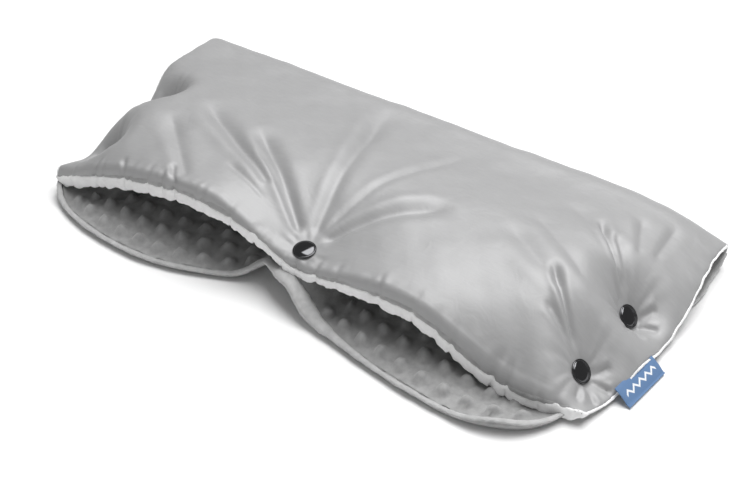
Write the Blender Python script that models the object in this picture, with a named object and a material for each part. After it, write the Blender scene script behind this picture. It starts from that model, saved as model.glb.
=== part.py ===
"""Hand warmer muff for a pushchair handle.

One padded rectangle is folded over along its back edge and closed with five press studs: one in
the middle of the open front, which parts the two hand openings, and two at each end, in front of
the way through for the handlebar. Each half is a sandwich of outer cover, wadding and plush
lining. The lower half is the fixed body, and the upper half turns about the back fold.

Frame: metres, +X along the muff, -Y towards the open front, +Z up. The origin is on the flat
underside, in the middle of the muff's width.
"""

import math

import bmesh
import bpy
from mathutils import Vector

# Overall sizes.
HALF_WIDTH = 0.250
FOLD_Y = 0.134  # back of the fold
ROLL_Y = 0.104  # where the halves start to curve round into the fold
FOLD_Z = 0.018  # height at which the two halves part
HINGE_GAP = 0.0005  # between the two halves at the fold
GAP = 0.0004  # between pieces that touch

# The sandwich.
COVER = 0.0008
LINING = 0.0016
PADDED = 0.0115  # whole thickness in the middle of a half
SEWN = 0.0052  # whole thickness along the sewn edges
CLAMPED = 0.0046  # whole thickness under a press stud
SEAM_MARGIN = 0.035  # width over which an edge swells to the full padding

# Outer height of the upper half, lying closed.
CREST_Y = -0.020
CREST_HEIGHT = 0.072
ROLL_HEIGHT = 0.052
PINCHED_END = 0.0118  # outer height of an end that the press studs hold down
RIGHT_MOUTH = 0.030  # outer height over the handlebar's way out at the right end
LEFT_MOUTH = 0.052  # and at the left end, where the fold stands open
MOUTH_Y = (0.022, 0.062)  # the pinched stretch changes into the mouth between these
END_SLOPE_STARTS = 0.150
HALVES_APART = 0.0009  # least distance between the two linings

# Front lips, seen from above.
UPPER_LIP_Y = -0.108
UPPER_LIP_BULGE = 0.008
LOWER_LIP_Y = -0.112
LOWER_LIP_BULGE = 0.022
CORNER_PULL = 0.012  # how far a front corner is rounded in

# Heights of the upper lip: at the left corner, at the middle, at the right corner.
LIP_LEFT, LIP_MIDDLE, LIP_RIGHT = 0.022, 0.036, 0.0125
LIP_RISE_LEFT, LIP_PEAK_LEFT = 0.031, 0.64
LIP_RISE_RIGHT, LIP_PEAK_RIGHT = 0.025, 0.32

# Press studs: where the axis crosses the plane between the linings, and how the studs lean.
END_TILT = math.radians(48)
CENTRE_TILT = math.radians(9)
END_STUD_X, END_STUD_Z = 0.2233, 0.0160
END_STUD_YS = {"front": -0.067, "back": 0.007}
CENTRE_STUD_Y, CENTRE_STUD_Z = -0.090, 0.038
STUD_SPACE = 0.0040  # between the linings at a press stud
UPPER_SEAT, LOWER_SEAT = 0.0125, 0.0085  # each half is flat this far round a press stud
UPPER_PINCH = {"centre": 0.075, "end": 0.048}  # how far a press stud draws the halves in
LOWER_PINCH = {"centre": 0.052, "end": 0.027}

# Press stud parts.
ROUND = 14
CAP_RADIUS, CAP_HEIGHT, CAP_RIM = 0.0093, 0.0030, 0.0009
SOCKET_RADIUS, SOCKET_HOLE = 0.0062, 0.0034
STUD_HEAD, STUD_NECK = 0.0030, 0.0024
POST_RADIUS, BACK_FLANGE = 0.0016, 0.0062
TOOL_CLEARANCE = 0.0004

# Edge band and label.
BAND_RADIUS = 0.0023
LABEL_LENGTH, LABEL_REACH, LABEL_THICK = 0.048, 0.0185, 0.0009
LABEL_Y = -0.036
LABEL_DROOP = math.radians(30)

# Grid lines of the halves: closest together where the press studs draw them in.
HALF_COLUMNS = (0.012, 0.032, 0.064, 0.100, 0.138, 0.172, 0.198, 0.212, 0.223, 0.235, HALF_WIDTH)
COLUMNS = [-x for x in reversed(HALF_COLUMNS)] + [0.0] + list(HALF_COLUMNS)
LIP_ROW = -0.110
ROWS = [LIP_ROW, -0.101, -0.090, -0.079, -0.066, -0.050, -0.024, -0.006, 0.008, 0.024, 0.048, 0.076]
ROLL_STEPS = 4


def smooth(t):
    t = min(max(t, 0.0), 1.0)
    return t * t * (3 - 2 * t)


def mix(a, b, t):
    return a + (b - a) * t


def lobe(t, peak=0.5):
    """An arch from 0 at t = 0 to 0 at t = 1, highest at peak."""
    t = min(max(t, 0.0), 1.0)
    return math.sin(math.pi * t ** (math.log(0.5) / math.log(peak)))


class PressStud:
    """A press stud's place: its middle, between the linings, and the unit vector up its axis."""

    def __init__(self, name, kind, middle, lean_x, lean_y):
        self.name = name
        self.kind = kind
        self.middle = Vector(middle)
        self.slope = (-math.tan(lean_x), -math.tan(lean_y))
        self.axis = Vector((math.tan(lean_x), math.tan(lean_y), 1.0)).normalized()

    def at(self, height):
        """The point this far up the axis."""
        return self.middle + self.axis * height

    def plane(self, x, y, height):
        """Height at (x, y) of the plane across the axis, this far up it."""
        level = self.middle.z + height / self.axis.z
        return level + self.slope[0] * (x - self.middle.x) + self.slope[1] * (y - self.middle.y)

    def hold(self, x, y, height, reach):
        """1 where the surface at this height up the axis is held flat, falling to 0 at reach."""
        centre = self.at(height)
        seat = UPPER_SEAT if height > 0 else LOWER_SEAT
        away = math.hypot(x - centre.x, y - centre.y)
        return 1 - smooth((away - seat) / (reach - seat))


def press_studs():
    studs = [PressStud("centre", "centre", (0, CENTRE_STUD_Y, CENTRE_STUD_Z), 0, -CENTRE_TILT)]
    for side, sign in (("left", -1), ("right", 1)):
        for place, y in END_STUD_YS.items():
            middle = (sign * END_STUD_X, y, END_STUD_Z)
            studs.append(PressStud(f"{side}_{place}", "end", middle, sign * END_TILT, 0))
    return studs


STUDS = press_studs()
LINING_FACE = STUD_SPACE / 2
COVER_FACE = LINING_FACE + CLAMPED


def steepness(height, x, y):
    """How much longer the vertical is than the normal distance through a sheet at this height."""
    step = 0.001
    across = (height(x + step, y) - height(x - step, y)) / (2 * step)
    along = (height(x, y + step) - height(x, y - step)) / (2 * step)
    return math.sqrt(1 + across * across + along * along)


def thickness(x, y, lip_y, side):
    """Whole thickness of a half: thin where it is sewn or clamped, and full elsewhere."""
    from_edge = min(HALF_WIDTH - abs(x), y - lip_y)
    value = mix(SEWN, PADDED, smooth(from_edge / SEAM_MARGIN))
    for stud in STUDS:
        held = stud.hold(x, y, side * LINING_FACE, UPPER_SEAT + SEAM_MARGIN)
        value = mix(value, CLAMPED, held)
    return value


def lower_lip(x):
    return LOWER_LIP_Y - LOWER_LIP_BULGE * lobe(abs(x) / HALF_WIDTH) ** 0.7


def upper_lip(x):
    return UPPER_LIP_Y - UPPER_LIP_BULGE * lobe(abs(x) / HALF_WIDTH)


def lower_outer(x, y):
    """The underside: flat, but drawn up at the press studs."""
    z = 0.0
    for stud in STUDS:
        held = stud.hold(x, y, -COVER_FACE, LOWER_PINCH[stud.kind])
        z = mix(z, max(stud.plane(x, y, -COVER_FACE), 0.0), held)
    return z


def lower_inner(x, y):
    return lower_outer(x, y) + thickness(x, y, lower_lip(x), -1) * steepness(lower_outer, x, y)


def lip_height(x):
    if x < 0:
        t = 1 + x / HALF_WIDTH
        return mix(LIP_LEFT, LIP_MIDDLE, t) + LIP_RISE_LEFT * lobe(t, LIP_PEAK_LEFT)
    t = x / HALF_WIDTH
    return mix(LIP_MIDDLE, LIP_RIGHT, t) + LIP_RISE_RIGHT * lobe(t, LIP_PEAK_RIGHT)


def free_height(x, y):
    """Outer height of the upper half with no press stud drawing it in."""
    if y < CREST_Y:
        t = min(max((y - upper_lip(x)) / (CREST_Y - upper_lip(x)), 0.0), 1.0)
        middle = mix(lip_height(x), CREST_HEIGHT, math.sin(t * math.pi / 2))
    else:
        middle = mix(CREST_HEIGHT, ROLL_HEIGHT, smooth((y - CREST_Y) / (ROLL_Y - CREST_Y)))
    mouth = LEFT_MOUTH if x < 0 else RIGHT_MOUTH
    end = mix(PINCHED_END, mouth, smooth((y - MOUTH_Y[0]) / (MOUTH_Y[1] - MOUTH_Y[0])))
    if y < CREST_Y:
        end = mix(lip_height(math.copysign(HALF_WIDTH, x)), end, smooth(t * 4))
    return mix(middle, end, smooth((abs(x) - END_SLOPE_STARTS) / (HALF_WIDTH - END_SLOPE_STARTS)))


def drawn_height(x, y):
    z = free_height(x, y)
    for stud in STUDS:
        held = stud.hold(x, y, COVER_FACE, UPPER_PINCH[stud.kind])
        z = mix(z, stud.plane(x, y, COVER_FACE), held)
    return z


def upper_inner(x, y):
    ceiling = drawn_height(x, y) - thickness(x, y, upper_lip(x), 1) * steepness(drawn_height, x, y)
    return max(ceiling, lower_inner(x, y) + HALVES_APART)


def upper_outer(x, y):
    return upper_inner(x, y) + thickness(x, y, upper_lip(x), 1) * steepness(upper_inner, x, y)


def place(x, row, lip_y):
    """Where a grid line crossing lies, with the rows near the lip moved out to meet it."""
    lip_share = 1 - smooth((row - LIP_ROW) / 0.030)
    y = row + (lip_y - LIP_ROW) * lip_share
    pulled = x * (1 - CORNER_PULL / HALF_WIDTH * smooth((-0.080 - y) / 0.034) ** 2)
    return pulled, y


class Half:
    """One half of the muff. point() gives a place in it by grid line and share of its thickness."""

    def __init__(self, outer, inner, lip, up):
        self.outer = outer
        self.inner = inner
        self.lip = lip
        self.up = up  # 1 for the upper half, -1 for the lower

    def whole(self, x, y):
        return abs(self.inner(x, y) - self.outer(x, y))

    def point(self, column, row, depth):
        """depth(thickness) is the distance below the outer face."""
        x = COLUMNS[column]
        if row < len(ROWS):
            x, y = place(x, ROWS[row], self.lip(x))
            whole = self.whole(x, y)
            real = thickness(x, y, self.lip(x), self.up)
            z = self.outer(x, y) - self.up * depth(real) * whole / real
            return Vector((x, y, z))
        turn = math.pi / 2 * (row - len(ROWS)) / ROLL_STEPS
        real = self.whole(x, ROLL_Y)
        inward = depth(real)
        rise = abs(self.outer(x, ROLL_Y) - FOLD_Z) - HINGE_GAP / 2
        y = ROLL_Y + (FOLD_Y - ROLL_Y - inward) * math.sin(turn)
        z = FOLD_Z + self.up * (HINGE_GAP / 2 + (rise - inward) * math.cos(turn))
        return Vector((x, y, z))


LOWER = Half(lower_outer, lower_inner, lower_lip, -1)
UPPER = Half(upper_outer, upper_inner, upper_lip, 1)

# Each layer's two faces, as depths below the outer face of a sandwich of the given thickness.
LAYERS = {
    "cover": (lambda t: 0.0, lambda t: COVER),
    "wadding": (lambda t: COVER + GAP, lambda t: t - LINING - GAP),
    "lining": (lambda t: t - LINING, lambda t: t),
}


def make_material(name, colour, roughness, metallic=0.0):
    material = bpy.data.materials.new(name)
    material.use_nodes = True
    shader = material.node_tree.nodes["Principled BSDF"]
    shader.inputs["Base Color"].default_value = (*colour, 1.0)
    shader.inputs["Roughness"].default_value = roughness
    shader.inputs["Metallic"].default_value = metallic
    material.diffuse_color = (*colour, 1.0)
    return material


def add_object(name, mesh_builder, material):
    """An object from a bmesh, placed and named."""
    mesh = bpy.data.meshes.new(name)
    bmesh.ops.recalc_face_normals(mesh_builder, faces=mesh_builder.faces[:])
    mesh_builder.to_mesh(mesh)
    mesh_builder.free()
    mesh.materials.append(material)
    obj = bpy.data.objects.new(name, mesh)
    bpy.context.scene.collection.objects.link(obj)
    return obj


def sheet(builder, half, depth):
    """One face of a layer: a grid whose points are moved on to it."""
    columns, rows = len(COLUMNS) - 1, len(ROWS) + ROLL_STEPS
    made = bmesh.ops.create_grid(builder, x_segments=columns, y_segments=rows, size=1.0)
    for vert in made["verts"]:
        column = round((vert.co.x + 1) / 2 * columns)
        row = round((vert.co.y + 1) / 2 * rows)
        vert.co = half.point(column, row, depth)
    quads = [face for face in builder.faces if len(face.verts) == 4]
    bmesh.ops.triangulate(builder, faces=quads, quad_method="FIXED")


def layer(name, half, faces, cutter, material):
    """One layer of a half: two sheets joined round their edges, with the press studs' holes."""
    builder = bmesh.new()
    for depth in faces:
        sheet(builder, half, depth)
    rims = [edge for edge in builder.edges if edge.is_boundary]
    bmesh.ops.bridge_loops(builder, edges=rims)
    obj = add_object(name, builder, material)
    cut = obj.modifiers.new("stud_holes", "BOOLEAN")
    cut.operation = "DIFFERENCE"
    cut.object = cutter
    return obj


def turned(builder, profile, stud):
    """A closed turned shape on a press stud's axis, from (radius, height) points, top to bottom.

    A point at radius 0 closes that end.
    """
    side = stud.axis.orthogonal().normalized()
    verts = [builder.verts.new(stud.at(height) + side * radius) for radius, height in profile]
    edges = [builder.edges.new(pair) for pair in zip(verts, verts[1:])]
    if profile[0][0] > 0:
        edges.append(builder.edges.new((verts[-1], verts[0])))
    made = bmesh.ops.spin(
        builder,
        geom=verts + edges,
        cent=stud.middle,
        axis=stud.axis,
        angle=2 * math.pi,
        steps=ROUND,
        use_merge=True,
    )
    bmesh.ops.remove_doubles(builder, verts=builder.verts[:], dist=1e-6)
    return made


def stud_piece(kind, stud, profile, material):
    builder = bmesh.new()
    turned(builder, profile, stud)
    obj = add_object(f"{kind}_{stud.name}", builder, material)
    obj.data.shade_smooth()
    obj.data.set_sharp_from_angle(angle=math.radians(35))
    return obj


def cap_profile():
    """A domed cap with a rolled rim, and the post under it."""
    base = COVER_FACE + GAP
    dome = [
        (CAP_RADIUS * math.sin(a), base + CAP_RIM + (CAP_HEIGHT - CAP_RIM) * math.cos(a))
        for a in (math.radians(d) for d in (0, 30, 60, 90))
    ]
    post_end = LINING_FACE - 0.0012
    return dome + [
        (CAP_RADIUS - 0.0004, base),
        (POST_RADIUS, base),
        (POST_RADIUS, post_end),
        (0, post_end),
    ]


def socket_profile():
    """A ring that grips the stud's head, with a hole in its roof for the cap's post."""
    roof = LINING_FACE - GAP
    mouth = -LINING_FACE + 0.0014
    hole = POST_RADIUS + GAP
    ceiling = roof - 0.0006
    return [
        (hole, roof),
        (SOCKET_RADIUS, roof),
        (SOCKET_RADIUS - 0.0008, mouth),
        (SOCKET_HOLE, mouth),
        (SOCKET_HOLE, ceiling),
        (hole, ceiling),
    ]


def stud_profile():
    """A flange with a headed knob, open down its middle for the back piece's tube."""
    flange = -LINING_FACE + GAP
    top = flange + 0.0006
    head = LINING_FACE - GAP - 0.0006 - 0.0004
    bore = POST_RADIUS + GAP
    return [
        (bore, head - 0.0004),
        (STUD_NECK, head),
        (STUD_HEAD, head - 0.0007),
        (STUD_NECK, top),
        (SOCKET_RADIUS, top),
        (SOCKET_RADIUS, flange),
        (bore, flange),
    ]


def back_profile():
    """A flange on the underside, with the tube that holds the stud."""
    base = -COVER_FACE - GAP
    tube_end = -LINING_FACE + 0.0009
    return [
        (0, tube_end),
        (POST_RADIUS, tube_end),
        (POST_RADIUS, base),
        (BACK_FLANGE, base - 0.0002),
        (BACK_FLANGE - 0.0006, base - 0.0011),
        (0, base - 0.0011),
    ]


def stud_cutter():
    """What the press studs take out of the layers: holes for the posts, and room at their faces."""
    builder = bmesh.new()
    far = 0.030
    hole = POST_RADIUS + TOOL_CLEARANCE
    cap = CAP_RADIUS + TOOL_CLEARANCE
    inside = SOCKET_RADIUS + TOOL_CLEARANCE
    back = BACK_FLANGE + TOOL_CLEARANCE
    spare = GAP / 2
    for stud in STUDS:
        profile = [
            (0, far),
            (cap, far),
            (cap, COVER_FACE + spare),
            (hole, COVER_FACE + spare),
            (hole, LINING_FACE - spare),
            (inside, LINING_FACE - spare),
            (inside, -LINING_FACE + spare),
            (hole, -LINING_FACE + spare),
            (hole, -COVER_FACE - spare),
            (back, -COVER_FACE - spare),
            (back, -far),
            (0, -far),
        ]
        turned(builder, profile, stud)
    obj = add_object("stud_cutter", builder, make_material("cutter", (1, 0, 0), 0.5))
    obj.hide_render = True
    obj.display_type = "WIRE"
    return obj


def band_route(half):
    """Along an end, round the lip and back along the other end, just outside the sewn edge."""
    out = BAND_RADIUS + GAP
    last = len(COLUMNS) - 1
    stretches = [
        [(0, row) for row in range(len(ROWS), 0, -1)],
        [(column, 0) for column in range(last + 1)],
        [(last, row) for row in range(1, len(ROWS) + 1)],
    ]
    outward = [Vector((-1, 0, 0)), Vector((0, -1, 0)), Vector((1, 0, 0))]
    points = []
    for stretch, direction in zip(stretches, outward):
        for column, row in stretch:
            near_corner = column in (0, last) and row == 0
            shift = direction * (0.8 * out) if near_corner else direction * out
            if near_corner:
                shift.x = math.copysign(0.8 * out, COLUMNS[column])
            points.append(half.point(column, row, lambda t: t / 2) + shift)
    return points


def band(name, half, material):
    """The plush edge, rolled out past the cover all round the open sides."""
    curve = bpy.data.curves.new(name, "CURVE")
    curve.dimensions = "3D"
    curve.bevel_depth = BAND_RADIUS
    curve.bevel_resolution = 1
    curve.use_fill_caps = True
    spline = curve.splines.new("POLY")
    route = band_route(half)
    spline.points.add(len(route) - 1)
    for point, place_on_route in zip(spline.points, route):
        point.co = (*place_on_route, 1.0)
    curve.materials.append(material)
    obj = bpy.data.objects.new(name, curve)
    bpy.context.scene.collection.objects.link(obj)
    return obj


def label_root():
    """The line just off the right end's seam from which the label slopes down over the band."""
    across = math.cos(LABEL_DROOP)
    down = math.sin(LABEL_DROOP)
    clear = BAND_RADIUS + LABEL_THICK / 2 + GAP
    middle = (upper_inner(HALF_WIDTH, LABEL_Y) + upper_outer(HALF_WIDTH, LABEL_Y)) / 2
    passing = Vector((HALF_WIDTH + GAP + BAND_RADIUS, LABEL_Y, middle))
    passing += Vector((down, 0, across)) * clear
    back = (passing.x - HALF_WIDTH - 2 * GAP) / across
    return passing + Vector((-across, 0, down)) * back


def label(material):
    """A folded ribbon, sewn into the seam of the right end and lying out over the band."""
    builder = bmesh.new()
    bmesh.ops.create_cube(builder, size=1.0)
    bmesh.ops.scale(builder, vec=(LABEL_REACH, LABEL_LENGTH, LABEL_THICK), verts=builder.verts[:])
    bmesh.ops.translate(builder, vec=(LABEL_REACH / 2, 0, 0), verts=builder.verts[:])
    obj = add_object("label", builder, material)
    obj.location = label_root()
    obj.rotation_euler = (0, LABEL_DROOP, 0)
    return obj


def main():
    for obj in list(bpy.data.objects):
        bpy.data.objects.remove(obj)
    materials = {
        "cover": make_material("cover_satin", (0.50, 0.50, 0.50), 0.42),
        "wadding": make_material("wadding_fleece", (0.86, 0.86, 0.84), 0.95),
        "lining": make_material("lining_plush", (0.62, 0.62, 0.62), 0.95),
        "metal": make_material("stud_metal", (0.42, 0.42, 0.43), 0.12, 1.0),
        "ribbon": make_material("label_ribbon", (0.10, 0.19, 0.38), 0.7),
    }
    cutter = stud_cutter()
    for half_name, half in (("lower", LOWER), ("upper", UPPER)):
        for layer_name, faces in LAYERS.items():
            layer(f"{layer_name}_{half_name}", half, faces, cutter, materials[layer_name])
        band(f"edge_band_{half_name}", half, materials["lining"])
    pieces = {
        "snap_cap": cap_profile(),
        "snap_socket": socket_profile(),
        "snap_stud": stud_profile(),
        "snap_back": back_profile(),
    }
    for stud in STUDS:
        for kind, profile in pieces.items():
            stud_piece(kind, stud, profile, materials["metal"])
    label(materials["ribbon"])


main()
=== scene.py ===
"""Looks of the hand warmer muff: satin covers, plush linings and edges, press studs and label."""

import math

import bmesh
import bpy
import numpy as np
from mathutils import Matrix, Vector


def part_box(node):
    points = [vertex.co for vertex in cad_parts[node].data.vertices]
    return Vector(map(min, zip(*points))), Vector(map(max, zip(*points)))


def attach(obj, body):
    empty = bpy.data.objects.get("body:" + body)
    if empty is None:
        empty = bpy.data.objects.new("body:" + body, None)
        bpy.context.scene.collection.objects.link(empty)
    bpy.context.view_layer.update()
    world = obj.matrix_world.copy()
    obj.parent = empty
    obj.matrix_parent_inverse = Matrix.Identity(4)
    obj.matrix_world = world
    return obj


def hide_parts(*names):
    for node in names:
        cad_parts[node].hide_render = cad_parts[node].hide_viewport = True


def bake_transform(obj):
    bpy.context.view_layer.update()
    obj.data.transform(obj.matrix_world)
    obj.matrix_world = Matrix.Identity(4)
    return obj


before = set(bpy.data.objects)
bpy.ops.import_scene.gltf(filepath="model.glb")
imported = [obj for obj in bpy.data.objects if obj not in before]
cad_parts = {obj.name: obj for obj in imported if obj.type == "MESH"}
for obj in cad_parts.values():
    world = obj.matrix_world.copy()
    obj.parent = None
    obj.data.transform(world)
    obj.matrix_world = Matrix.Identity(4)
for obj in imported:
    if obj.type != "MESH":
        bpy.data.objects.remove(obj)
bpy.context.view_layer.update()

# ---------------------------------------------------------------- sizes, in metres

FOLD_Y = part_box("cover_lower")[1].y  # back of the fold
ROLL_Y = FOLD_Y - 0.032  # where the halves start to curve round into the fold
FOLD_Z = 0.018  # height at which the two halves part
STRIP_Z = (0.012, 0.021)  # the cover's fold strip
LINING_STRIP_Z = (0.0152, 0.0202)  # and the lining's, inside it
CREST_Y, CREST_Z, ROLL_Z = -0.020, 0.072, 0.053
FACE = 0.0066  # from the middle of a press stud to the covers' outer faces
LINING_FACE = 0.0020  # and to the linings' faces
COVER_THICK, LINING_THICK = 0.0008, 0.0014
PADDED, SEWN, CLAMPED = 0.0115, 0.0050, FACE - LINING_FACE
DOT_PITCH, DOT_RADIUS, DOT_HEIGHT = 0.0200, 0.0056, 0.0062
DOT_ROW_PITCH = DOT_PITCH * 0.866  # between the staggered rows of dots
END_TILT, CENTRE_TILT = math.radians(48), math.radians(9)
CAP_RADIUS = 0.0093
STUD_X, FRONT_STUD_Y, BACK_STUD_Y = 0.2233, -0.067, 0.007  # the two studs at each end
LEFT_REACH, RIGHT_REACH = 0.2575, 0.2605  # from the centre stud to the ends
NOMINAL_REACH = 0.25  # the CAD covers' half width, for distances in from an end

# Upper half's front seam: an arch over each hand opening, low at the centre stud and corners.
SEAM_MIDDLE_Z = 0.033
LEFT_ARCH_X, LEFT_ARCH_Z, LEFT_CORNER_Z = 0.095, 0.059, 0.017
RIGHT_ARCH_X, RIGHT_ARCH_Z, RIGHT_CORNER_Z = 0.090, 0.047, 0.0125
LEFT_CORNER_X = 0.256  # where the left arch comes down to the corner
SEAM_Y, SEAM_BOW, SEAM_CORNER_PULL = -0.1015, 0.006, 0.006

# Lower half's lip: drawn in beside the centre stud, and swinging out under each opening.
PINCH_X, PINCH_Y, PINCH_Z = -0.034, -0.097, 0.017
LEFT_SWING_X, LEFT_SWING_Y, LEFT_CORNER = -0.150, -0.133, (0.1075, -0.092)
RIGHT_SWING_X, RIGHT_SWING_Y, RIGHT_CORNER = 0.170, -0.1425, (0.067, -0.080)

# The left end's height where its studs hold it and behind them, where the fold stands open.
LEFT_END_HELD, LEFT_END_OPEN = 0.015, 0.053
LEFT_SLOPE, RIGHT_SLOPE = 0.066, 0.088  # how far in from each end the puffed crest starts
LOWER_TUCK = 0.0080  # how far the lower half's right end lies inside the upper's
STRIP_DEPTH = 0.0050  # how deep the front roll turns under to the seam
CURL_TURN = math.radians(112)  # how far round the lower lip is rolled up
BAND_STARTS_Y, BAND_BLEND = -0.088, 0.010  # the plush edges thicken in front of this
BAND_FADE = 0.009  # and the upper one thins over this length at the left corner


def smooth(t):
    t = np.clip(t, 0.0, 1.0)
    return t * t * (3 - 2 * t)


def mix(a, b, t):
    return a + (b - a) * t


def hump(x, middle, reach):
    """1 at the middle, falling softly to 0 past this reach to either side."""
    return np.exp(-(((x - middle) / reach) ** 2))


def ripple(x, y, length, seed):
    """Soft irregular waves about this long, from -1 to 1."""
    total = 0.0
    for step in range(5):
        turn = seed * 1.7 + step * 2.39996
        stretch = 2 * math.pi / length * (0.75 + 0.17 * step)
        total = total + np.sin(
            stretch * (x * math.cos(turn) + y * math.sin(turn)) + seed + step * step
        )
    return total / 3.2


# ---------------------------------------------------------------- press studs' places


class Stud:
    """A press stud: its middle, between the linings, its axis, and how it draws the cloth in."""

    def __init__(self, name, middle, lean_x, lean_y, pinch, sharpness=1.7):
        self.name = name
        self.middle = np.array(middle, float)
        self.slope = (-math.tan(lean_x), -math.tan(lean_y))
        axis = np.array([math.tan(lean_x), math.tan(lean_y), 1.0])
        self.axis = axis / np.linalg.norm(axis)
        self.pinch = pinch
        self.sharpness = sharpness  # how quickly the cloth leaves the stud

    def draw(self, x, y, z, height, reach, seat=0.0085):
        """z drawn to the plane across the axis at this height, within reach of the axis."""
        centre = self.middle + self.axis * height
        away = np.hypot(x - centre[0], y - centre[1])
        held = (1 - np.clip((away - seat) / (reach - seat), 0, 1)) ** self.sharpness
        plane = centre[2] + self.slope[0] * (x - centre[0]) + self.slope[1] * (y - centre[1])
        return mix(z, plane, held)

    def clear(self, x, y, height, start, end):
        """0 within start of the axis, rising to 1 at end."""
        centre = self.middle + self.axis * height
        away = np.hypot(x - centre[0], y - centre[1])
        return smooth((away - start) / (end - start))


STUDS = [Stud("centre", (0, -0.090, 0.038), 0, -CENTRE_TILT, 0.085)]
for side, sign in (("left", -1), ("right", 1)):
    for place, at_y in (("front", FRONT_STUD_Y), ("back", BACK_STUD_Y)):
        middle = (sign * STUD_X, at_y, 0.0160)
        pinch, sharpness = (0.046, 1.7) if sign > 0 else (0.036, 2.4)
        STUDS.append(Stud(f"{side}_{place}", middle, sign * END_TILT, 0, pinch, sharpness))

# ---------------------------------------------------------------- the open front's edges


def upper_seam_z(x):
    """A quarter sine up from the middle to each arch's top, then down to the corner."""
    away = np.abs(x)
    left = mix(SEAM_MIDDLE_Z, LEFT_ARCH_Z, np.sin(np.pi / 2 * np.clip(away / LEFT_ARCH_X, 0, 1)))
    past = np.clip((away - LEFT_ARCH_X) / (LEFT_CORNER_X - LEFT_ARCH_X), 0, 1)
    left = left - (LEFT_ARCH_Z - LEFT_CORNER_Z) * past**1.75
    right = mix(SEAM_MIDDLE_Z, RIGHT_ARCH_Z, np.sin(np.pi / 2 * np.clip(away / RIGHT_ARCH_X, 0, 1)))
    right = mix(right, RIGHT_CORNER_Z, smooth((away - 0.100) / 0.100))
    return np.where(x < 0, left, right)


def upper_seam_y(x):
    """The seam bows out to the front on the right, and is drawn back at the right corner."""
    bow = SEAM_BOW * np.sin(np.pi * np.clip((x + 0.03) / 0.28, 0, 1))
    return SEAM_Y - bow + SEAM_CORNER_PULL * smooth((x - 0.20) / 0.05)


def lip_side(x, swing_x, swing_y, corner):
    """One side of the lower lip: out from the pinch, then a quarter ellipse round the corner."""
    reach, end_y = corner
    out = np.sin(np.pi / 2 * np.clip((x - PINCH_X) / (swing_x - PINCH_X), 0, 1))
    past = np.clip((x - swing_x) / math.copysign(reach, swing_x), 0, 1)
    round_end = end_y + (swing_y - end_y) * np.sqrt(1 - past**2)
    return np.where(past > 0, round_end, mix(PINCH_Y, swing_y, out))


def lower_lip_y(x):
    """The lower lip in plan."""
    left = lip_side(x, LEFT_SWING_X, LEFT_SWING_Y, LEFT_CORNER)
    right = lip_side(x, RIGHT_SWING_X, RIGHT_SWING_Y, RIGHT_CORNER)
    return np.where(x < PINCH_X, left, right)


def lower_lip_z(x):
    """The lower lip's height: near the floor, and lifted where it is pinched."""
    corners = 0.005 * smooth((-0.235 - x) / 0.02) + 0.001 * smooth((x - 0.205) / 0.03)
    return 0.001 + PINCH_Z * hump(x, PINCH_X + 0.003, 0.018) + corners


def lip_curl(x):
    """How tightly the lower lip is rolled up."""
    return 0.0024 + 0.0050 * hump(x, 0.200, 0.022) - 0.0010 * smooth((x - 0.220) / 0.02)


def brow_height(x):
    """How far the front roll stands above the seam."""
    return 0.002 + 0.010 * np.sqrt(np.clip(1 - (x / 0.258) ** 4, 0, 1)) - 0.003 * hump(x, 0, 0.02)


def band_height(x):
    """Half height of the pale plush edge along the upper seam."""
    return 0.0054 - 0.0018 * hump(x, 0.02, 0.05) - 0.0022 * smooth((x - 0.232) / 0.02)


def at_front(y):
    """1 along the open front and 0 along the ends."""
    return smooth((BAND_STARTS_Y - y) / BAND_BLEND)


def lip_height(x):
    """Half height of the plush edge along the lower lip, fullest where it is pinched."""
    return 0.0016 + 0.0036 * hump(x, 0.006, 0.042)


def left_end_z(y):
    """The left end's edge: up beside the hand opening, held at the studs, then up to the fold."""
    risen = mix(LEFT_END_HELD, LEFT_END_OPEN, smooth((y + 0.005) / 0.060))
    return mix(LEFT_CORNER_Z, risen + 0.011 * hump(y, -0.100, 0.020), smooth((y + 0.122) / 0.022))


# ---------------------------------------------------------------- the folded panel's shape


def right_edge(y):
    """How far out the right end lies, rounded in towards its corners."""
    return RIGHT_REACH - 0.0152 * ((y - 0.02) / 0.12) ** 2


def left_edge(y):
    """How far out the left end lies, nearly straight."""
    return LEFT_REACH - 0.0020 * ((y - 0.02) / 0.12) ** 2


def half_width(a, y):
    """From the middle to the end on a's side. a runs from -1 at the left to 1 at the right."""
    return np.where(a > 0, right_edge(y), left_edge(y))


def lower_x(a, y):
    """Across the lower half, whose right end is tucked in under the upper half's."""
    tuck = LOWER_TUCK * smooth(a) * (1 - smooth((y - 0.040) / 0.050))
    return a * (half_width(a, y) - tuck)


def end_height(x, y):
    """Outer height of the upper half at its ends."""
    corner = upper_seam_z(x)
    right = mix(corner, 0.0125, smooth((y + 0.105) / 0.035))
    right = mix(right, 0.024, smooth((y - 0.03) / 0.05))
    return np.where(x > 0, right, left_end_z(y))


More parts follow.
